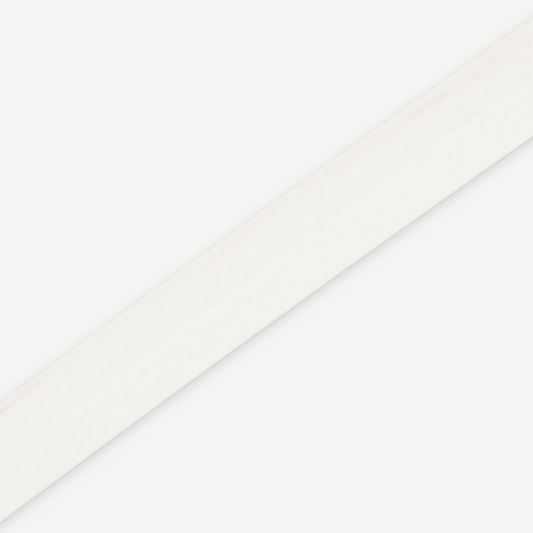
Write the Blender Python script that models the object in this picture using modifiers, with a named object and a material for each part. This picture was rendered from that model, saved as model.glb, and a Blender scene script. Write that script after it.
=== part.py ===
"""A cut length of single-fold bias tape, lying face up.

The tape is one strip of cotton, cut on the bias. Its two long sides are turned under, so that the raw
edges lie side by side beneath the middle. The strip starts here as a flat grid, as it is cut, and each
of its points is then carried to its place in the folded tape. Metres, +Z up, with the tape along X.
"""

import math
from typing import NamedTuple

import bmesh
import bpy

# The folded tape
TAPE_LENGTH = 0.180
BOW = 0.0008  # how far the middle of the tape stands out from the line between its ends

# The cloth and its layers
CLOTH = 0.0010  # thickness of the sheet
LAYER_GAP = 0.0003  # air between the face and the turned sides, at the middle
RAW_EDGE_GAP = 0.0012  # between the two raw edges
RAW_EDGES_ACROSS = 0.0003  # the turned sides are a little uneven, and meet off the middle

# The relief of the face
GROOVE_DEPTH = 0.00012  # where the face sinks between the raw edges
GROOVE_WIDTH = 0.0016
CREASE_WIDTH = 0.0015

# Steps of the grid, along the tape and then across the strip from raw edge to raw edge
STEPS_ALONG = 36
STEPS_IN_TURNED_SIDE = 3
STEPS_IN_FOLD = 8
STEPS_IN_FACE = 36

COTTON_COLOUR = (0.884, 0.877, 0.843, 1.0)
COTTON_ROUGHNESS = 0.9


class Section(NamedTuple):
    """The tape's size and relief at one place along it."""

    along: float
    half_width: float
    fold_rise: float  # how far the folds stand above the middle of the face
    crease_inside: float  # from the upper fold to the press crease beside it
    crease_depth: float


SECTIONS = (
    Section(-0.090, 0.00999, 0.00006, 0.0013, 0.00010),
    Section(-0.063, 0.00997, 0.00006, 0.0014, 0.00012),
    Section(-0.048, 0.00994, 0.00008, 0.0014, 0.00006),
    Section(-0.034, 0.00993, 0.00010, 0.0012, 0.00000),
    Section(0.010, 0.00998, 0.00010, 0.0013, 0.00000),
    Section(0.034, 0.01004, 0.00020, 0.0018, 0.00006),
    Section(0.048, 0.01006, 0.00030, 0.0021, 0.00010),
    Section(0.066, 0.01008, 0.00028, 0.0021, 0.00010),
    Section(0.090, 0.01006, 0.00024, 0.0019, 0.00008),
)

# Heights of the cloth's middle surface
SIDE_HEIGHT = CLOTH / 2
FACE_HEIGHT = CLOTH * 1.5 + LAYER_GAP
FOLD_RADIUS = (FACE_HEIGHT - SIDE_HEIGHT) / 2


def section_at(along):
    """The section at a place along the tape, eased between the two rows around it."""
    for before, after in zip(SECTIONS, SECTIONS[1:]):
        if along <= after.along:
            break
    share = min(1.0, max(0.0, (along - before.along) / (after.along - before.along)))
    eased = share * share * (3 - 2 * share)
    return Section(*(a + (b - a) * eased for a, b in zip(before, after)))


def trough(distance, width):
    """The depth of a soft trough, from 1 on its line to 0 at half its width from it."""
    if abs(distance) >= width / 2:
        return 0.0
    return 0.5 + 0.5 * math.cos(2 * math.pi * distance / width)


def face_height(across, section):
    """The height of the face's middle surface, with its rise to the folds, its groove and its crease."""
    from_middle = across / section.half_width
    crease_across = section.half_width - section.crease_inside
    return (
        FACE_HEIGHT
        + section.fold_rise * from_middle * from_middle
        - GROOVE_DEPTH * trough(across - RAW_EDGES_ACROSS, GROOVE_WIDTH)
        - section.crease_depth * trough(across - crease_across, CREASE_WIDTH)
    )


def folded_point(column, section):
    """(across, height) of the folded cloth's middle surface, for one column of the grid.

    The columns run from the raw edge under the middle, out to the lower fold, over the face and the
    upper fold, and back under to the other raw edge.
    """
    fold_centre = section.half_width - CLOTH / 2 - FOLD_RADIUS
    steps_in_half_face = STEPS_IN_FACE / 2
    from_middle = column - (STEPS_IN_TURNED_SIDE + STEPS_IN_FOLD + steps_in_half_face)
    side = math.copysign(1, from_middle)
    step = abs(from_middle)
    if step <= steps_in_half_face:
        across = side * fold_centre * step / steps_in_half_face
        return across, face_height(across, section)
    step -= steps_in_half_face
    if step <= STEPS_IN_FOLD:
        top = face_height(side * fold_centre, section)
        angle = math.pi * step / STEPS_IN_FOLD
        across = side * (fold_centre + FOLD_RADIUS * math.sin(angle))
        return across, (top + SIDE_HEIGHT) / 2 + (top - SIDE_HEIGHT) / 2 * math.cos(angle)
    share = (step - STEPS_IN_FOLD) / STEPS_IN_TURNED_SIDE
    raw_edge = RAW_EDGES_ACROSS + side * RAW_EDGE_GAP / 2
    return side * fold_centre * (1 - share) + raw_edge * share, SIDE_HEIGHT


def bowed(along, across):
    """(x, y) of a point of the straight tape, once the tape lies in its slight bow."""
    radius = TAPE_LENGTH * TAPE_LENGTH / (8 * BOW)
    angle = along / radius
    x = (radius + across) * math.sin(angle)
    y = (radius + across) * math.cos(angle) - radius + BOW / 2
    return x, y


def folded_strip():
    """The mesh of the strip's middle surface: a flat grid, carried point by point into its folds."""
    steps_across = 2 * (STEPS_IN_TURNED_SIDE + STEPS_IN_FOLD) + STEPS_IN_FACE
    half_size = 0.5
    strip = bmesh.new()
    bmesh.ops.create_grid(strip, x_segments=STEPS_ALONG, y_segments=steps_across, size=half_size)
    for vertex in strip.verts:
        along = TAPE_LENGTH * vertex.co.x / (2 * half_size)
        column = round(steps_across * (vertex.co.y + half_size) / (2 * half_size))
        across, height = folded_point(column, section_at(along))
        vertex.co = (*bowed(along, across), height)
    mesh = bpy.data.meshes.new("tape")
    strip.to_mesh(mesh)
    strip.free()
    return mesh


def cotton():
    """Undyed cotton with a dry, matt surface."""
    material = bpy.data.materials.new("cotton")
    material.use_nodes = True
    shader = material.node_tree.nodes["Principled BSDF"]
    shader.inputs["Base Color"].default_value = COTTON_COLOUR
    shader.inputs["Roughness"].default_value = COTTON_ROUGHNESS
    shader.inputs["Metallic"].default_value = 0.0
    return material


def main():
    """Clears the scene and builds the tape in its own collection."""
    for old in list(bpy.data.objects):
        bpy.data.objects.remove(old)
    collection = bpy.data.collections.new("bias_tape")
    bpy.context.scene.collection.children.link(collection)

    mesh = folded_strip()
    mesh.materials.append(cotton())
    mesh.shade_smooth()
    tape = bpy.data.objects.new("tape", mesh)
    collection.objects.link(tape)
    thickness = tape.modifiers.new("cloth thickness", "SOLIDIFY")
    thickness.thickness = CLOTH
    thickness.offset = 0.0
    thickness.use_even_offset = True


main()
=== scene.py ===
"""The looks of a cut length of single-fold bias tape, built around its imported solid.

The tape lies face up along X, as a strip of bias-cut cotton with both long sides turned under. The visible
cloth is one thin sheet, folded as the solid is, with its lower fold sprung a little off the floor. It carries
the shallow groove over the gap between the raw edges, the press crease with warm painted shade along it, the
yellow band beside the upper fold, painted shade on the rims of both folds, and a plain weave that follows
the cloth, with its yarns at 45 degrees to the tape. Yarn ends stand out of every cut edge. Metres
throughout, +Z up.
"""

import logging
import math
from dataclasses import dataclass, field
from enum import Enum
from typing import ClassVar, NamedTuple

import bpy
import numpy as np
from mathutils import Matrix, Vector


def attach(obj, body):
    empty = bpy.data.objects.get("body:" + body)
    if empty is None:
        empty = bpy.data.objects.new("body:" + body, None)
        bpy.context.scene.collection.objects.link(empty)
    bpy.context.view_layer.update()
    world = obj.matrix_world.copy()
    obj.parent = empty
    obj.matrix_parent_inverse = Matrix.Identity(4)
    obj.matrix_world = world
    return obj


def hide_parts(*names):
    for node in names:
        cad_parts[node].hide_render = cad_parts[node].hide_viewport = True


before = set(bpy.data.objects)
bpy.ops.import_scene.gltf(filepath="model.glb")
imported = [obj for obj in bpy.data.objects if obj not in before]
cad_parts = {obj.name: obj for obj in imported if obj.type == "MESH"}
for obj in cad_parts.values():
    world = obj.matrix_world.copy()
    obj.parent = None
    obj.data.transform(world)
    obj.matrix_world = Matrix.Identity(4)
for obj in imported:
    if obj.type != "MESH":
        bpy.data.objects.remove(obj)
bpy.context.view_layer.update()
LOG = logging.getLogger("bias_tape")

Array = np.ndarray

COTTON = (0.8930, 0.8833, 0.8523)  # the colour of clean, undyed cotton
YARN_SPACING = 0.00033
CHANCE_KNOTS = 400  # values in one row of chance changes
CURVE_STEPS = 400  # in which a fold's curve is measured


class Fold(Enum):
    """The two long folds, by the side of the tape that they lie on."""

    LOWER = -1
    UPPER = 1


class Cut(Enum):
    """The four cut edges of the strip."""

    START = "start"
    END = "end"
    LOWER_RAW_EDGE = "lower raw edge"
    UPPER_RAW_EDGE = "upper raw edge"


class Chance(Enum):
    """The rows of chance changes along the tape, each with the seed that keeps it unlike the others."""

    GROOVE_LINE = 2
    GROOVE_DEPTH = 3
    STAIN_LINE = 5
    STAIN_STRENGTH = 6
    MARK_STRENGTH = 7


class Section(NamedTuple):
    """The tape's shape at one place along it."""

    along: float
    half_width: float
    fold_rise: float  # how far the folds stand above the middle of the face
    groove_shift: float  # from the usual line of the groove
    groove_depth: float
    crease_inside: float  # from the upper fold to the press crease beside it
    crease_depth: float


class Colouring(NamedTuple):
    """The cloth's colour, and the painted shade on its press crease, at one place along the tape."""

    along: float
    stain: float  # how yellow the cloth is along the upper fold
    stain_inside: float  # from the fold to the middle of the yellow band
    stain_width: float
    mark: float  # how strong the painted shade on the press crease is, tinted warm as light bounced in the crease
    ageing: float  # faint yellowing over the whole width
    # brightness over the whole width, a little lower towards the start of the tape
    shade: float


SECTIONS = (
    Section(-0.090, 0.00999, 0.00011, 0.00010, 0.00007, 0.0012, 0.00003),
    Section(-0.061, 0.00997, 0.00011, 0.00006, 0.00007, 0.0015, 0.00003),
    Section(-0.053, 0.00995, 0.00012, -0.00006, 0.00007, 0.0012, 0.00002),
    Section(-0.048, 0.00994, 0.00012, -0.00010, 0.00008, 0.0015, 0.00002),
    Section(-0.034, 0.00993, 0.00016, 0.00008, 0.00009, 0.0015, 0.00000),
    Section(0.010, 0.00998, 0.00025, -0.00008, 0.00005, 0.0015, 0.00000),
    Section(0.034, 0.01004, 0.00039, 0.00000, 0.00010, 0.0018, 0.00002),
    Section(0.048, 0.01007, 0.00053, -0.00010, 0.00010, 0.0021, 0.00002),
    Section(0.066, 0.01008, 0.00049, 0.00010, 0.00008, 0.0021, 0.00002),
    Section(0.090, 0.01006, 0.00044, 0.00000, 0.00008, 0.0020, 0.00002),
)

COLOURING = (
    Colouring(-0.090, 0.45, 0.00150, 0.0030, 0.85, 0.00, 0.994),
    Colouring(-0.070, 0.50, 0.00150, 0.0030, 1.10, 0.00, 0.994),
    Colouring(-0.060, 0.50, 0.00145, 0.0030, 1.40, 0.00, 0.994),
    Colouring(-0.052, 0.40, 0.00130, 0.0028, 0.30, 0.00, 0.995),
    Colouring(-0.046, 0.30, 0.00160, 0.0038, 0.05, 0.00, 0.996),
    Colouring(-0.030, 0.32, 0.00170, 0.0046, 0.00, 0.00, 0.998),
    Colouring(-0.007, 0.34, 0.00165, 0.0044, 0.12, 0.00, 1.000),
    Colouring(0.017, 0.32, 0.00155, 0.0040, 0.15, 0.00, 1.000),
    Colouring(0.032, 0.34, 0.00160, 0.0038, 0.20, 0.00, 1.000),
    Colouring(0.040, 0.42, 0.00185, 0.0036, 0.45, 0.00, 1.000),
    Colouring(0.049, 0.46, 0.00230, 0.0044, 0.55, 0.02, 0.999),
    Colouring(0.058, 0.38, 0.00230, 0.0056, 0.25, 0.06, 0.999),
    Colouring(0.066, 0.32, 0.00240, 0.0072, 0.05, 0.13, 1.000),
    Colouring(0.075, 0.28, 0.00250, 0.0092, 0.00, 0.20, 1.001),
    Colouring(0.090, 0.28, 0.00250, 0.0092, 0.00, 0.20, 1.001),
)


def column_values(table: tuple[Section, ...] | tuple[Colouring, ...], along: Array) -> dict[str, Array]:
    """Reads a table at many places along the tape.

    Args:
        table: rows in order along the tape.
        along: the places, in metres from the middle.

    Returns:
        Each of the table's columns, eased between its rows.
    """
    rows = np.array(table)
    places = rows[:, 0]
    after = np.clip(np.searchsorted(places, along), 1, len(places) - 1)
    share = np.clip((along - places[after - 1]) / (places[after] - places[after - 1]), 0, 1)
    eased = share * share * (3 - 2 * share)
    return {
        name: rows[after - 1, k] + (rows[after, k] - rows[after - 1, k]) * eased
        for k, name in enumerate(table[0]._fields)
    }


def trough(distance: Array, width: float | Array) -> Array:
    """A soft trough's depth, from 1 on its line to 0 at half its width from it."""
    reach = np.clip(np.abs(distance) / (width / 2), 0, 1)
    return 0.5 + 0.5 * np.cos(np.pi * reach)


def unevenness(along: Array, size: float, chance: Chance) -> Array:
    """Soft chance changes along the tape.

    Args:
        along: places along the tape, in metres from the middle.
        size: the length over which the value changes.
        chance: which row of changes.

    Returns:
        A value from -1 to 1 for each place.
    """
    knots = np.random.default_rng(chance.value).uniform(-1, 1, CHANCE_KNOTS)
    place = along / size + len(knots) / 2
    before = np.floor(place).astype(int)
    share = place - before
    eased = share * share * (3 - 2 * share)
    return knots[before] + (knots[before + 1] - knots[before]) * eased


class Ripple(NamedTuple):
    """One faint wave in the face of the cloth."""

    wavelength: float
    angle: float  # degrees from the tape's length
    height: float
    phase: float


RIPPLES = (
    Ripple(0.0270, 52.0, 0.000009, 0.4),
    Ripple(0.0190, -41.0, 0.000008, 2.1),
    Ripple(0.0110, 47.0, 0.000005, 4.0),
    Ripple(0.0071, -50.0, 0.000003, 1.3),
    Ripple(0.0043, 38.0, 0.000002, 5.2),
)


class NodeGraph:
    """Lays out the shader nodes of one material."""

    def __init__(self, name: str) -> None:
        """Starts an empty graph for a new material of this name."""
        self.material = bpy.data.materials.new(name)
        self.material.use_nodes = True
        self.tree = self.material.node_tree
        self.shader = self.tree.nodes["Principled BSDF"]

    def add(self, kind: str, **settings: object) -> bpy.types.Node:
        """Adds a node.

        Args:
            kind: the node's type, without the ShaderNode at its front.
            **settings: properties of the node.

        Returns:
            The new node.
        """
        node = self.tree.nodes.new("ShaderNode" + kind)
        for name, value in settings.items():
            setattr(node, name, value)
        return node

    def feed(self, socket: bpy.types.NodeSocket, value: object) -> None:
        """Links a socket to another one, or gives it a constant."""
        if isinstance(value, bpy.types.NodeSocket):
            self.tree.links.new(value, socket)
        else:
            socket.default_value = value

    def math(self, operation: str, *values: object) -> bpy.types.NodeSocket:
        """Works out one value from others.

        Args:
            operation: the name of the sum, as the Math node has it.
            *values: sockets or numbers.

        Returns:
            The socket of the result.
        """
        node = self.add("Math", operation=operation)
        for socket, value in zip(node.inputs, values):
            self.feed(socket, value)
        return node.outputs[0]

    def noise(self, vector: bpy.types.NodeSocket, size: float, detail: float = 2.0) -> bpy.types.Node:
        """Adds cloudy noise around 0.5.

        Args:
            vector: the place that it reads.
            size: of its clouds, in the vector's units.
            detail: how many finer layers it has.

        Returns:
            The noise node.
        """
        node = self.add("TexNoise", noise_dimensions="2D")
        self.feed(node.inputs["Vector"], vector)
        node.inputs["Scale"].default_value = 1 / size
        node.inputs["Detail"].default_value = detail
        return node

    def vector(self, x: object, y: object) -> bpy.types.NodeSocket:
        """A flat vector from two values."""
        node = self.add("CombineXYZ")
        self.feed(node.inputs["X"], x)
        self.feed(node.inputs["Y"], y)
        return node.outputs[0]


@dataclass(frozen=True)
class CottonWeave:
    """Undyed cotton in plain weave, with its yarns at 45 degrees to the tape.

    The pattern lies on the UV map, which holds the flat strip's own coordinates in metres, so that it runs
    round the folds as the cloth does.
    """

    colour: tuple[float, float, float] = COTTON
    yarn_pitch: float = YARN_SPACING
    bias_angle: float = 45.0
    yarn_wander: float = 0.5  # how far the yarns stray sideways, in pitches
    wander_size: float = 0.0022
    yarn_relief: float = 0.00009
    relief_strength: float = 0.22
    yarn_contrast: float = 0.018  # brightness from yarn to yarn and along each one
    yarn_difference: float = 0.77  # between neighbours, where less makes them more alike
    slub_length: float = 14.0  # in yarn pitches
    slub_thickness: float = 0.5  # how much higher the brighter yarns stand
    warp_seed: float = 3.1
    weft_seed: float = 57.4
    gap_shade: float = 0.03  # how much darker the cloth is between the yarns
    mean_height: float = 0.7  # of the weave, where its highest point is 1
    mottle_contrast: float = 0.023
    mottle_size: float = 0.0016
    fuzz_size: float = 0.00009
    fuzz_height: float = 0.25  # as a share of the yarns' own
    blotch_size: float = 0.0012
    blotch_strength: float = 0.5  # how unevenly the yellowness and the painted shade of the tone are laid on
    roughness: float = 0.92
    sheen: float = 0.03
    sheen_roughness: float = 0.6
    specular: float = 0.08

    def yarn_tone(self, graph: NodeGraph, across: object, along: object, seed: float) -> bpy.types.NodeSocket:
        """Uneven brightness of the yarns of one set.

        Args:
            graph: the material's nodes.
            across: position across the yarns, in pitches.
            along: position along them, in pitches.
            seed: keeps the two sets of yarns unlike.

        Returns:
            A value around 0.
        """
        number = graph.math("FLOOR", across)
        spread = graph.math("MULTIPLY_ADD", number, self.yarn_difference, seed)
        length = graph.math("DIVIDE", along, self.slub_length)
        cloud = graph.noise(graph.vector(spread, length), size=1.0)
        return graph.math("SUBTRACT", cloud.outputs["Fac"], 0.5)

    def yarn_places(
        self, graph: NodeGraph, cut: bpy.types.NodeSocket
    ) -> tuple[bpy.types.NodeSocket, bpy.types.NodeSocket]:
        """The place on the cloth in the yarns' own directions.

        Args:
            graph: the material's nodes.
            cut: the place on the flat strip.

        Returns:
            The place across the warp and across the weft, in yarn pitches.
        """
        yarns = graph.add("Mapping", vector_type="POINT")
        graph.feed(yarns.inputs["Vector"], cut)
        yarns.inputs["Rotation"].default_value = (0, 0, math.radians(self.bias_angle))
        yarns.inputs["Scale"].default_value = (1 / self.yarn_pitch, 1 / self.yarn_pitch, 1)
        wander = graph.noise(cut, self.wander_size, detail=1.0)
        strayed = graph.add("VectorMath", operation="MULTIPLY_ADD")
        graph.feed(strayed.inputs[0], wander.outputs["Color"])
        strayed.inputs[1].default_value = (self.yarn_wander * 2,) * 3
        graph.feed(strayed.inputs[2], yarns.outputs[0])
        split = graph.add("SeparateXYZ")
        graph.feed(split.inputs[0], strayed.outputs[0])
        return split.outputs["X"], split.outputs["Y"]

    def stained_colour(self, graph: NodeGraph, cut: bpy.types.NodeSocket) -> bpy.types.NodeSocket:
        """The cotton's colour under its tone: the yellow bands, the painted shade on the press crease and the
        fold rims, and the brightness along the tape, all laid on in blotches.

        Args:
            graph: the material's nodes.
            cut: the place on the flat strip.

        Returns:
            The colour.
        """
        tone = graph.add("Attribute", attribute_name=FoldedTape.TONE_NAME)
        blotch = graph.noise(cut, self.blotch_size, detail=1.0).outputs["Fac"]
        strength = graph.math("MULTIPLY_ADD", blotch, self.blotch_strength * 2, 1 - self.blotch_strength)
        loss = graph.add("VectorMath", operation="SUBTRACT")
        loss.inputs[0].default_value = (1, 1, 1)
        graph.feed(loss.inputs[1], tone.outputs["Vector"])
        uneven_loss = graph.add("VectorMath", operation="SCALE")
        graph.feed(uneven_loss.inputs[0], loss.outputs[0])
        graph.feed(uneven_loss.inputs["Scale"], strength)
        stained = graph.add("VectorMath", operation="SUBTRACT")
        stained.inputs[0].default_value = (1, 1, 1)
        graph.feed(stained.inputs[1], uneven_loss.outputs[0])
        toned_cotton = graph.add("VectorMath", operation="MULTIPLY")
        graph.feed(toned_cotton.inputs[0], stained.outputs[0])
        toned_cotton.inputs[1].default_value = self.colour
        return toned_cotton.outputs[0]

    def material(self, name: str) -> bpy.types.Material:
        """Builds the shader.

        Args:
            name: the material's name.

        Returns:
            The finished material.
        """
        graph = NodeGraph(name)
        cut = graph.add("UVMap", uv_map=FoldedTape.UV_NAME).outputs["UV"]
        warp, weft = self.yarn_places(graph, cut)
        warp_wave = graph.math("SINE", graph.math("MULTIPLY", warp, math.pi))
        weft_wave = graph.math("SINE", graph.math("MULTIPLY", weft, math.pi))
        crossing = graph.math("MULTIPLY", warp_wave, weft_wave)
        warp_height = graph.math("ADD", graph.math("ABSOLUTE", warp_wave), crossing)
        weft_height = graph.math("SUBTRACT", graph.math("ABSOLUTE", weft_wave), crossing)
        height = graph.math("MULTIPLY", graph.math("MAXIMUM", warp_height, weft_height), 0.5)

        warp_tone = self.yarn_tone(graph, warp, weft, self.warp_seed)
        weft_tone = self.yarn_tone(graph, weft, warp, self.weft_seed)
        warp_on_top = graph.math("GREATER_THAN", crossing, 0.0)
        tone_gap = graph.math("SUBTRACT", warp_tone, weft_tone)
        yarn_tone = graph.math("MULTIPLY_ADD", tone_gap, warp_on_top, weft_tone)
        mottle = graph.noise(cut, self.mottle_size, detail=3.0).outputs["Fac"]
        fuzz = graph.noise(cut, self.fuzz_size).outputs["Fac"]

        brightness = graph.math("MULTIPLY_ADD", yarn_tone, self.yarn_contrast * 2, 1.0)
        mottling = graph.math("SUBTRACT", mottle, 0.5)
        brightness = graph.math("MULTIPLY_ADD", mottling, self.mottle_contrast * 2, brightness)
        lowness = graph.math("SUBTRACT", height, self.mean_height)
        brightness = graph.math("MULTIPLY_ADD", lowness, self.gap_shade, brightness)
        lit = graph.add("VectorMath", operation="SCALE")
        graph.feed(lit.inputs[0], self.stained_colour(graph, cut))
        graph.feed(lit.inputs["Scale"], brightness)
        graph.feed(graph.shader.inputs["Base Color"], lit.outputs[0])

        thickness = graph.math("MULTIPLY_ADD", yarn_tone, self.slub_thickness, 1.0)
        relief = graph.math("MULTIPLY", height, thickness)
        relief = graph.math("MULTIPLY_ADD", fuzz, self.fuzz_height, relief)
        bump = graph.add("Bump")
        bump.inputs["Strength"].default_value = self.relief_strength
        bump.inputs["Distance"].default_value = self.yarn_relief
        graph.feed(bump.inputs["Height"], relief)
        graph.feed(graph.shader.inputs["Normal"], bump.outputs[0])

        graph.shader.inputs["Roughness"].default_value = self.roughness
        graph.shader.inputs["Specular IOR Level"].default_value = self.specular
        graph.shader.inputs["Sheen Weight"].default_value = self.sheen
        graph.shader.inputs["Sheen Roughness"].default_value = self.sheen_roughness
        return graph.material


@dataclass(frozen=True)
class LooseYarn:
    """The same cotton on a single yarn end, where it has opened into fibres."""

    colour: tuple[float, float, float] = COTTON
    fibre_length: float = 0.0004
    contrast: float = 0.05
    roughness: float = 0.95
    sheen: float = 0.25

    def material(self, name: str) -> bpy.types.Material:
        """Builds the shader.

        Args:
            name: the material's name.

        Returns:
            The finished material.
        """
        graph = NodeGraph(name)
        place = graph.add("TexCoord")
        fibres = graph.noise(place.outputs["Object"], self.fibre_length, detail=3.0)
        ramp = graph.add("ValToRGB")
        graph.feed(ramp.inputs[0], fibres.outputs["Fac"])
        darker = [channel * (1 - self.contrast) for channel in self.colour]
        ramp.color_ramp.elements[0].color = (*darker, 1)
        ramp.color_ramp.elements[1].color = (*self.colour, 1)
        graph.feed(graph.shader.inputs["Base Color"], ramp.outputs[0])
        graph.shader.inputs["Roughness"].default_value = self.roughness
        graph.shader.inputs["Sheen Weight"].default_value = self.sheen
        return graph.material


@dataclass(frozen=True)
class PaperFloor:
    """Smooth, matt, neutral paper for the floor."""

    colour: tuple[float, float, float] = (0.90, 0.90, 0.90)
    roughness: float = 0.95
    specular: float = 0.1

    def material(self, name: str) -> bpy.types.Material:
        """Builds the shader under this name."""
        graph = NodeGraph(name)
        graph.shader.inputs["Base Color"].default_value = (*self.colour, 1)
        graph.shader.inputs["Roughness"].default_value = self.roughness
        graph.shader.inputs["Specular IOR Level"].default_value = self.specular
        return graph.material


@dataclass(frozen=True)
class FoldCurve:
    """The section of one long fold, as the middle of the cloth runs."""

    lift: float  # how far its foot springs up off the floor
    reach: float  # how far its curve runs across the tape
    lean: float  # how far its foot stands out past its top
    squareness: float  # 1 is round, and less is squarer
    inset: float  # how far inside the tape's usual edge it lies
    rim_painted_shade: float  # painted shade on its rim, darkest at its edge
    rim_width: float

    def points(self, rise: float, steps: int) -> tuple[Array, Array]:
        """Evenly spaced points down the fold, from just past its top to its foot.

        Args:
            rise: half of the fold's height.
            steps: the number of points.

        Returns:
            How far out each point is, in metres, and how high, from 1 at the top to -1 at the foot.
        """
        turn = np.linspace(0, np.pi, CURVE_STEPS)
        out = self.reach * np.abs(np.sin(turn)) ** self.squareness + self.lean * (1 - np.cos(turn)) / 2
        up = np.sign(np.cos(turn)) * np.abs(np.cos(turn)) ** self.squareness
        travelled = np.concatenate([[0], np.cumsum(np.hypot(np.diff(out), np.diff(up) * rise))])
        even = np.linspace(0, travelled[-1], steps + 1)[1:]
        return np.interp(even, travelled, out), np.interp(even, travelled, up)


@dataclass
class FoldedTape:
    """The cloth: one flat strip, folded and given its thickness."""

    UV_NAME: ClassVar[str] = "cut"
    TONE_NAME: ClassVar[str] = "tone"

    length: float = 0.180
    cut_width: float = 0.0405
    bow: float = 0.0008  # as the solid's
    cloth: float = 0.00026
    clearance: float = 0.00003  # between the floor and the cloth
    fold_height: float = 0.00125
    lift_reach: float = 0.40  # the share of a turned side that a sprung fold lifts off the floor
    lower_fold: FoldCurve = FoldCurve(
        lift=0.00038,
        reach=0.00020,
        lean=-0.00010,
        squareness=0.75,
        inset=0.00018,
        rim_painted_shade=0.90,
        rim_width=0.0005,
    )
    upper_fold: FoldCurve = FoldCurve(
        lift=0.0,
        reach=0.00022,
        lean=-0.00090,
        squareness=0.70,
        inset=-0.00005,
        rim_painted_shade=0.972,
        rim_width=0.0014,
    )
    sag_roundness: float = 1.3  # 1 makes each half of the face flat, and 2 rounds them into one
    raw_edge_gap: float = 0.0012
    raw_edges_across: float = 0.0003  # from the tape's middle to the middle of the gap
    raw_edge_lift: float = 0.00006
    groove_width: float = 0.0030
    groove_wander: float = 0.00012
    groove_patchiness: float = 0.5
    wander_length: float = 0.007  # over which the groove and the stain change their line
    patch_length: float = 0.004  # over which they change their strength
    crease_width: float = 0.0016
    shoulder_height: float = 0.00004  # of the soft ridge along the upper fold
    shoulder_inside: float = 0.0026
    shoulder_width: float = 0.0042
    # the cloth is yellower in a band along each fold, faintest along the lower one
    lower_stain: float = 0.16
    lower_stain_inside: float = 0.0006
    lower_stain_width: float = 0.0026
    stain_tint: tuple[float, float, float] = (0.997, 0.956, 0.918)
    stain_wander: float = 0.00015
    stain_patchiness: float = 0.3
    # the painted shade on the press crease: darker, and warm as light bounced in the crease
    mark_tint: tuple[float, float, float] = (0.963, 0.953, 0.933)
    mark_width: float = 0.0020
    mark_patchiness: float = 0.5
    crease_shade_length: float = 0.0022  # over which the painted crease shade changes its strength
    steps_along: int = 300
    steps_in_side: int = 14
    steps_in_fold: int = 22
    steps_in_face: int = 72
    smooth_angle: float = 50.0
    finish: CottonWeave = field(default_factory=CottonWeave)

    def curves(self) -> dict[Fold, FoldCurve]:
        """The curve of each long fold."""
        return {Fold.LOWER: self.lower_fold, Fold.UPPER: self.upper_fold}

    def half_profile(self, values: dict[str, Array], fold: Fold) -> tuple[Array, Array]:
        """The section of one half of the tape, from the middle of its face to its raw edge.

        Args:
            values: the section table's columns, with a row for each step along the tape.
            fold: which half.

        Returns:
            The place across the tape and the height of each point, on the cloth's middle surface.
        """
        curve = self.curves()[fold]
        base = self.clearance + self.cloth / 2
        top = self.fold_height - self.cloth / 2
        foot = base + curve.lift
        out, up = curve.points((top - foot) / 2, self.steps_in_fold)
        centre = values["half_width"] - curve.inset - self.cloth / 2 - out.max()

        face_share = np.linspace(0, 1, self.steps_in_face // 2 + 1)[None, :]
        face_across = fold.value * centre * face_share
        from_middle = np.abs(face_across / values["half_width"])
        face_height = top - values["fold_rise"] * (1 - from_middle**self.sag_roundness)

        fold_across = fold.value * (centre + out[None, :])
        fold_height = foot + (face_height[:, -1:] - foot) * (1 + up[None, :]) / 2

        side_share = np.linspace(0, 1, self.steps_in_side + 1)[None, 1:]
        raw_edge = self.raw_edges_across + fold.value * self.raw_edge_gap / 2
        side_across = fold.value * (centre + curve.lean) * (1 - side_share) + raw_edge * side_share
        settled = np.clip(side_share / self.lift_reach, 0, 1)
        side_height = base + curve.lift * (1 - settled) ** 2 + self.raw_edge_lift * side_share**2
        side_height = np.broadcast_to(side_height, side_across.shape)
        across = np.concatenate([face_across, fold_across, side_across], axis=1)
        return across, np.concatenate([face_height, fold_height, side_height], axis=1)

    def profile(self, along: Array) -> tuple[Array, Array]:
        """The whole section, from the lower raw edge round to the upper one.

        Args:
            along: places along the tape, one a row.

        Returns:
            The place across the tape and the height of each point, on the cloth's middle surface.
        """
        values = column_values(SECTIONS, along)
        lower_across, lower_height = self.half_profile(values, Fold.LOWER)
        upper_across, upper_height = self.half_profile(values, Fold.UPPER)
        across = np.concatenate([lower_across[:, :0:-1], upper_across], axis=1)
        height = np.concatenate([lower_height[:, :0:-1], upper_height], axis=1)
        return across, height + self.relief(along, across, values) * self.on_face()

    def on_face(self) -> Array:
        """How far each column takes part in the relief of the face: 1 on the face, fading round the folds."""
        fade = (1 + np.cos(np.linspace(0, np.pi, self.steps_in_fold + 1))) / 2
        half = np.concatenate([np.ones(self.steps_in_face // 2), fade, np.zeros(self.steps_in_side)])
        return np.concatenate([half[:0:-1], half])[None, :]

    def relief(self, along: Array, across: Array, values: dict[str, Array]) -> Array:
        """The small ups and downs of the face.

        Args:
            along: places along the tape, one a row.
            across: places across it.
            values: the section table's columns.

        Returns:
            The height of each point over the plain folded cloth.
        """
        wander = self.groove_wander * unevenness(along, self.wander_length, Chance.GROOVE_LINE)
        groove_line = self.raw_edges_across + values["groove_shift"] + wander
        patches = 1 + self.groove_patchiness * unevenness(along, self.patch_length, Chance.GROOVE_DEPTH)
        groove_depth = values["groove_depth"] * patches
        crease_line = values["half_width"] - values["crease_inside"]
        shoulder_line = values["half_width"] - self.shoulder_inside
        height = -groove_depth * trough(across - groove_line, self.groove_width)
        height = height - values["crease_depth"] * trough(across - crease_line, self.crease_width)
        height = height + self.shoulder_height * trough(across - shoulder_line, self.shoulder_width)
        for ripple in RIPPLES:
            angle = math.radians(ripple.angle)
            travel = along * math.cos(angle) + across * math.sin(angle)
            height = height + ripple.height * np.sin(2 * np.pi * travel / ripple.wavelength + ripple.phase)
        return height

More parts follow.
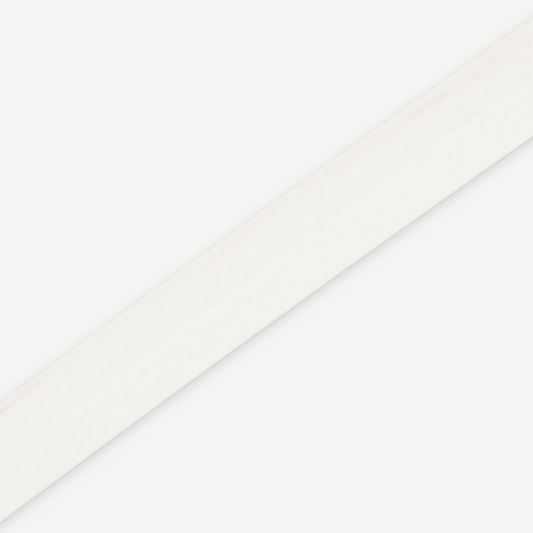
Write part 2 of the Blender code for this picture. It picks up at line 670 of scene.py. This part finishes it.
    def tone(self, along: Array, across: Array) -> Array:
        """The cloth's yellowness, the painted shade on its press crease and fold rims, and its brightness
        along the tape, as a colour that its own colour is multiplied by.

        Args:
            along: places along the tape, one a row.
            across: places across it.

        Returns:
            Red, green, blue and alpha of each point.
        """
        shape = column_values(SECTIONS, along)
        colouring = column_values(COLOURING, along)
        from_upper = shape["half_width"] - across
        from_lower = shape["half_width"] + across
        to_stain = from_upper - colouring["stain_inside"]
        to_lower_stain = from_lower - self.lower_stain_inside
        to_mark = from_upper - shape["crease_inside"]
        drift = self.stain_wander * unevenness(along, self.wander_length, Chance.STAIN_LINE)
        patches = 1 + self.stain_patchiness * unevenness(along, self.patch_length, Chance.STAIN_STRENGTH)
        # yellower in a band along the upper fold and a fainter one along the lower fold
        stain = colouring["stain"] * patches * trough(to_stain + drift, colouring["stain_width"])
        stain = stain + self.lower_stain * trough(to_lower_stain, self.lower_stain_width)
        stain = np.clip(stain + colouring["ageing"], 0, 1)[..., None]
        # painted shade along the press crease, darker and warmer, standing in for shade and bounced light
        crease_shade_patches = 1 + self.mark_patchiness * unevenness(along, self.crease_shade_length, Chance.MARK_STRENGTH)
        mark = colouring["mark"] * crease_shade_patches * trough(to_mark + drift, self.mark_width)
        shade = colouring["shade"]
        # painted shade along the rim of each fold
        for fold, curve in self.curves().items():
            to_rim = shape["half_width"] - curve.inset - fold.value * across
            shade = shade * (1 - (1 - curve.rim_painted_shade) * trough(to_rim, curve.rim_width))
        colour = 1 - stain * (1 - np.array(self.stain_tint))
        colour = colour * (1 - mark[..., None] * (1 - np.array(self.mark_tint))) * shade[..., None]
        return np.concatenate([colour, np.ones_like(stain)], axis=2)

    def bowed(self, along: Array, across: Array) -> tuple[Array, Array]:
        """X and Y of points of the straight tape, once it lies in its slight bow."""
        radius = self.length**2 / (8 * self.bow)
        angle = along / radius
        x = (radius + across) * np.sin(angle)
        y = (radius + across) * np.cos(angle) - radius + self.bow / 2
        return x, y

    def surface(self) -> tuple[Array, Array, Array]:
        """The folded strip's middle surface.

        Returns:
            The points, the flat strip's own coordinates there, and the tone, each with a row for each step
            along the tape and a column for each step across the strip.
        """
        along = np.linspace(-self.length / 2, self.length / 2, self.steps_along + 1)[:, None]
        across, height = self.profile(along)
        x, y = self.bowed(along, across)
        points = np.stack([x, y, height], axis=2)
        lengths = np.hypot(np.diff(across, axis=1), np.diff(height, axis=1))
        cut_across = np.concatenate([np.zeros_like(along), np.cumsum(lengths, axis=1)], axis=1)
        cut_across -= cut_across[:, across.shape[1] // 2][:, None]
        cut = np.stack(np.broadcast_arrays(along, cut_across), axis=2)
        return points, cut, self.tone(along, across)

    def flat_strip(self, columns: int) -> bpy.types.Object:
        """Adds the strip as it is cut: a flat grid with this many steps across."""
        bpy.ops.object.select_all(action="DESELECT")
        bpy.ops.mesh.primitive_grid_add(
            x_subdivisions=self.steps_along,
            y_subdivisions=columns,
            size=1,
            scale=(self.length, self.cut_width, 1),
        )
        strip = bpy.context.object
        strip.name = "folded_tape"
        strip.data.name = "folded_tape"
        return strip

    def build(self) -> bpy.types.Object:
        """Cuts, folds, thickens and dresses the strip.

        Returns:
            The finished cloth.
        """
        points, cut, tone = self.surface()
        rows, columns = points.shape[:2]
        strip = self.flat_strip(columns - 1)
        mesh = strip.data
        flat = np.empty(len(mesh.vertices) * 3)
        mesh.vertices.foreach_get("co", flat)
        flat = flat.reshape(-1, 3)
        row = np.rint((flat[:, 0] / np.ptp(flat[:, 0]) + 0.5) * (rows - 1)).astype(int)
        column = np.rint((flat[:, 1] / np.ptp(flat[:, 1]) + 0.5) * (columns - 1)).astype(int)
        mesh.vertices.foreach_set("co", points[row, column].ravel())

        uv_map = mesh.uv_layers[0]
        uv_map.name = self.UV_NAME
        corners = np.empty(len(mesh.loops), dtype=np.int32)
        mesh.loops.foreach_get("vertex_index", corners)
        uv_map.data.foreach_set("uv", cut[row, column][corners].ravel())
        tones = mesh.attributes.new(self.TONE_NAME, "FLOAT_COLOR", "POINT")
        tones.data.foreach_set("color", tone[row, column].ravel())
        mesh.update()

        thickness = strip.modifiers.new("cloth", "SOLIDIFY")
        thickness.thickness = self.cloth
        thickness.offset = 0
        thickness.use_even_offset = True
        bpy.ops.object.modifier_apply(modifier=thickness.name)
        bpy.ops.object.shade_smooth_by_angle(angle=math.radians(self.smooth_angle))
        strip.data.materials.append(self.finish.material("cotton_weave"))
        return strip


@dataclass
class YarnEnds:
    """Short ends of yarn along the cut edges, where the weave has begun to open."""

    tape: FoldedTape
    pitch: float = YARN_SPACING
    root_stray: float = 0.2  # how far a yarn's root leaves its even place, in yarn spacings
    radius: float = 0.00009
    tip: float = 0.35  # as a share of the radius
    shortest: float = 0.00012
    longest: float = 0.00055
    least_left: float = 0.4  # the share of a yarn that is left where it has worn off most
    stray: tuple[float, float, float] = (0.35, 0.35, 0.175)  # how far a yarn leaves its line, in X, Y and Z
    rings: int = 4
    sides: int = 4
    seed: int = 11
    finish: LooseYarn = field(default_factory=LooseYarn)

    def edge(self, cut: Cut, points: Array, flat: Array) -> tuple[Array, Array, Array]:
        """One cut edge of the strip.

        Args:
            cut: which edge.
            points: the middle surface's points.
            flat: the flat strip's coordinates there.

        Returns:
            Points along the edge, the distance along it, and the direction out of the cloth at each.
        """
        if cut is Cut.START:
            line, inner, distance = points[0], points[1], flat[0, :, 1]
        elif cut is Cut.END:
            line, inner, distance = points[-1], points[-2], flat[-1, :, 1]
        elif cut is Cut.LOWER_RAW_EDGE:
            line, inner, distance = points[:, 0], points[:, 1], flat[:, 0, 0]
        else:
            line, inner, distance = points[:, -1], points[:, -2], flat[:, -1, 0]
        outward = line - inner
        outward /= np.linalg.norm(outward, axis=1)[:, None]
        return line, distance, outward

    def roots(self, cut: Cut, points: Array, flat: Array, draw: np.random.Generator) -> tuple[Array, Array]:
        """Where the yarns of both sets leave one cut edge.

        Args:
            cut: which edge.
            points: the middle surface's points.
            flat: the flat strip's coordinates there.
            draw: the random numbers.

        Returns:
            A point and a direction for each yarn.
        """
        line, distance, outward = self.edge(cut, points, flat)
        step = self.pitch * math.sqrt(2)
        starts = np.arange(distance[0] + step / 2, distance[-1], step / 2)
        leaning = np.where(np.arange(len(starts)) % 2, 1.0, -1.0)
        starts = starts + draw.uniform(-self.root_stray, self.root_stray, len(starts)) * step
        starts = np.clip(starts, distance[0], distance[-1])
        place = np.stack([np.interp(starts, distance, line[:, k]) for k in range(3)], axis=1)
        ahead = np.stack([np.interp(starts + step, distance, line[:, k]) for k in range(3)], axis=1)
        behind = np.stack([np.interp(starts - step, distance, line[:, k]) for k in range(3)], axis=1)
        sideways = ahead - behind
        sideways /= np.linalg.norm(sideways, axis=1)[:, None]
        out = np.stack([np.interp(starts, distance, outward[:, k]) for k in range(3)], axis=1)
        return place - out * self.radius, out + sideways * leaning[:, None]

    def faces(self, count: int) -> list[tuple[int, ...]]:
        """The faces round this many yarn ends, and over both tips of each.

        Args:
            count: the number of yarn ends.

        Returns:
            The corners of each face.
        """
        faces = []
        corners_each = self.rings * self.sides
        for first in range(0, count * corners_each, corners_each):
            last = first + corners_each - self.sides
            for start in range(first, last, self.sides):
                for k in range(self.sides):
                    after = (k + 1) % self.sides
                    above = start + self.sides
                    faces.append((start + k, start + after, above + after, above + k))
            faces.append(tuple(range(first + self.sides - 1, first - 1, -1)))
            faces.append(tuple(range(last, last + self.sides)))
        return faces

    def build(self) -> bpy.types.Object:
        """Models every yarn end and joins them in one mesh.

        Returns:
            The finished piece.
        """
        draw = np.random.default_rng(self.seed)
        points, flat, _ = self.tape.surface()
        found = [self.roots(cut, points, flat, draw) for cut in Cut]
        place = np.concatenate([each[0] for each in found])
        heading = np.concatenate([each[1] for each in found])
        heading /= np.linalg.norm(heading, axis=1)[:, None]
        count = len(place)
        reach = draw.uniform(self.shortest, self.longest, count) * draw.uniform(self.least_left, 1, count)
        bend = draw.normal(0, self.stray, (count, 3))

        steps = np.linspace(0, 1, self.rings)[None, :, None]
        travelled = reach[:, None, None] * steps
        spine = place[:, None, :] + travelled * (heading[:, None, :] + bend[:, None, :] * steps)
        lowest = self.tape.clearance + self.radius
        spine[..., 2] = np.maximum(spine[..., 2], lowest)
        side = np.cross(heading, (0, 0, 1))
        side /= np.linalg.norm(side, axis=1)[:, None]
        up = np.cross(heading, side)
        turn = 2 * np.pi * np.arange(self.sides) / self.sides
        taper = np.linspace(1, self.tip, self.rings)[None, :, None, None] * self.radius
        ring = side[:, None, None, :] * np.cos(turn)[None, None, :, None]
        ring = ring + up[:, None, None, :] * np.sin(turn)[None, None, :, None]
        corners = (spine[:, :, None, :] + ring * taper).reshape(-1, 3)

        mesh = bpy.data.meshes.new("yarn_ends")
        mesh.from_pydata(corners.tolist(), [], self.faces(count))
        mesh.shade_smooth()
        mesh.materials.append(self.finish.material("loose_yarn"))
        ends = bpy.data.objects.new("yarn_ends", mesh)
        bpy.context.scene.collection.objects.link(ends)
        return ends


@dataclass
class Studio:
    """The plain pale floor, the soft light and the camera above the tape."""

    floor_size: float = 6.0
    sky_strength: float = 0.8128
    overhead_share: float = 0.1275
    overhead_spread: float = 120.0
    key_share: float = 0.1325
    key_elevation: float = 29.5
    key_spread: float = 24.0
    view_width: float = 0.1099  # how much the picture takes in, at the height below
    view_height: float = 0.0016
    view_turn: float = -35.89
    view_across: float = 0.00065  # from the tape's middle to the picture's
    lens: float = 100.0
    sensor: float = 36.0
    paper: PaperFloor = field(default_factory=PaperFloor)

    def floor(self) -> bpy.types.Object:
        """Lays the floor."""
        bpy.ops.object.select_all(action="DESELECT")
        bpy.ops.mesh.primitive_plane_add(size=self.floor_size)
        floor = bpy.context.object
        floor.name = "floor"
        floor.data.materials.append(self.paper.material("paper"))
        return floor

    def lights(self) -> None:
        """Sets an even pale sky, a wide light overhead, and a soft key light from the upper fold's side."""
        world = bpy.data.worlds.new("studio")
        world.use_nodes = True
        background = world.node_tree.nodes["Background"]
        background.inputs["Color"].default_value = (1, 1, 1, 1)
        background.inputs["Strength"].default_value = self.sky_strength
        bpy.context.scene.world = world

        self.soft_light("overhead", self.overhead_share, 90, self.overhead_spread)
        self.soft_light("key", self.key_share, self.key_elevation, self.key_spread)

    def soft_light(self, name: str, share: float, elevation: float, spread: float) -> None:
        """Adds a far, wide light, straight overhead or lower down on the upper fold's side.

        Args:
            name: what the light is called.
            share: its light on a surface that faces it, where 1 makes white paper white.
            elevation: its height above the floor, in degrees.
            spread: how wide it looks, in degrees.
        """
        lamp = bpy.data.lights.new(name, "SUN")
        lamp.angle = math.radians(spread)
        lamp.energy = share * math.pi
        light = bpy.data.objects.new(name, lamp)
        light.rotation_euler = (math.radians(elevation - 90), 0, 0)
        bpy.context.scene.collection.objects.link(light)

    def camera(self) -> bpy.types.Object:
        """Puts the camera straight above the tape, turned so that the tape runs to the upper right."""
        data = bpy.data.cameras.new("camera")
        data.lens = self.lens
        data.sensor_width = self.sensor
        camera = bpy.data.objects.new("camera", data)
        distance = self.view_width * self.lens / self.sensor
        camera.location = (0, self.view_across, self.view_height + distance)
        camera.rotation_euler = (0, 0, math.radians(self.view_turn))
        bpy.context.scene.collection.objects.link(camera)
        bpy.context.scene.camera = camera
        return camera

    def build(self) -> None:
        """Sets up the floor, the lights, the camera and the plain rendering of colours."""
        self.floor()
        self.lights()
        self.camera()
        scene = bpy.context.scene
        scene.view_settings.view_transform = "Standard"
        scene.render.dither_intensity = 0.0  # or a fine grain would lie over the smooth floor and the cloth


def report(piece: bpy.types.Object) -> None:
    """Logs a finished piece's size."""
    corners = [piece.matrix_world @ Vector(corner) for corner in piece.bound_box]
    spans = [1000 * (max(axis) - min(axis)) for axis in zip(*corners)]
    LOG.info("%s: %.1f x %.1f x %.2f mm, %d faces", piece.name, *spans, len(piece.data.polygons))


def main() -> None:
    """Builds the studio, the cloth and its yarn ends, and declares each piece."""
    logging.basicConfig(level=logging.INFO, format="%(name)s: %(message)s")
    Studio().build()

    cloth = FoldedTape()
    tape = cloth.build()
    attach(tape, "root")
    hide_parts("tape")
    report(tape)

    yarns = YarnEnds(cloth).build()
    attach(yarns, "root")
    report(yarns)


if __name__ == "__main__":
    main()
